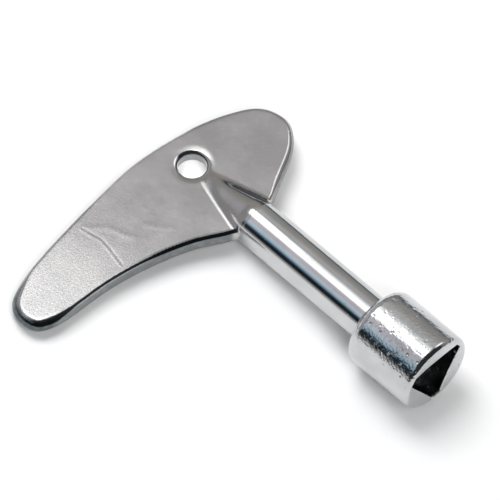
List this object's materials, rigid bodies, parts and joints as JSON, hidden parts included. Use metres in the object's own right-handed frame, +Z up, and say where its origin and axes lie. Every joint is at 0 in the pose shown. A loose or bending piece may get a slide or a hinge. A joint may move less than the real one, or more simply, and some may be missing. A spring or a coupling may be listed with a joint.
{
  "type": "radiator bleed key",
  "caption": "Plated hand key with an asymmetric flat wing handle, a round shank and a cylindrical head holding a blind triangular socket.",
  "frame": {"origin": "the key as it lies at rest: the floor below the centre of its bounding box", "axes": "+Z up from the floor; the socket's mouth faces -Y and 5.8 degrees up, the long wing points to -X, the short wing to +X"},
  "size_m": [0.0578, 0.0626, 0.0151],
  "materials": {
    "plated_die_casting": "satin nickel-chrome plate over a slightly wavy die casting",
    "plated_bar": "bright nickel-chrome plate on smooth round bar",
    "plated_socket": "bright nickel-chrome plate over a pitted, rough-turned surface"
  },
  "bodies": {
    "root": {"wing_handle": "plated_die_casting", "shank": "plated_bar", "socket_head": "plated_socket"}
  },
  "joints": []
}
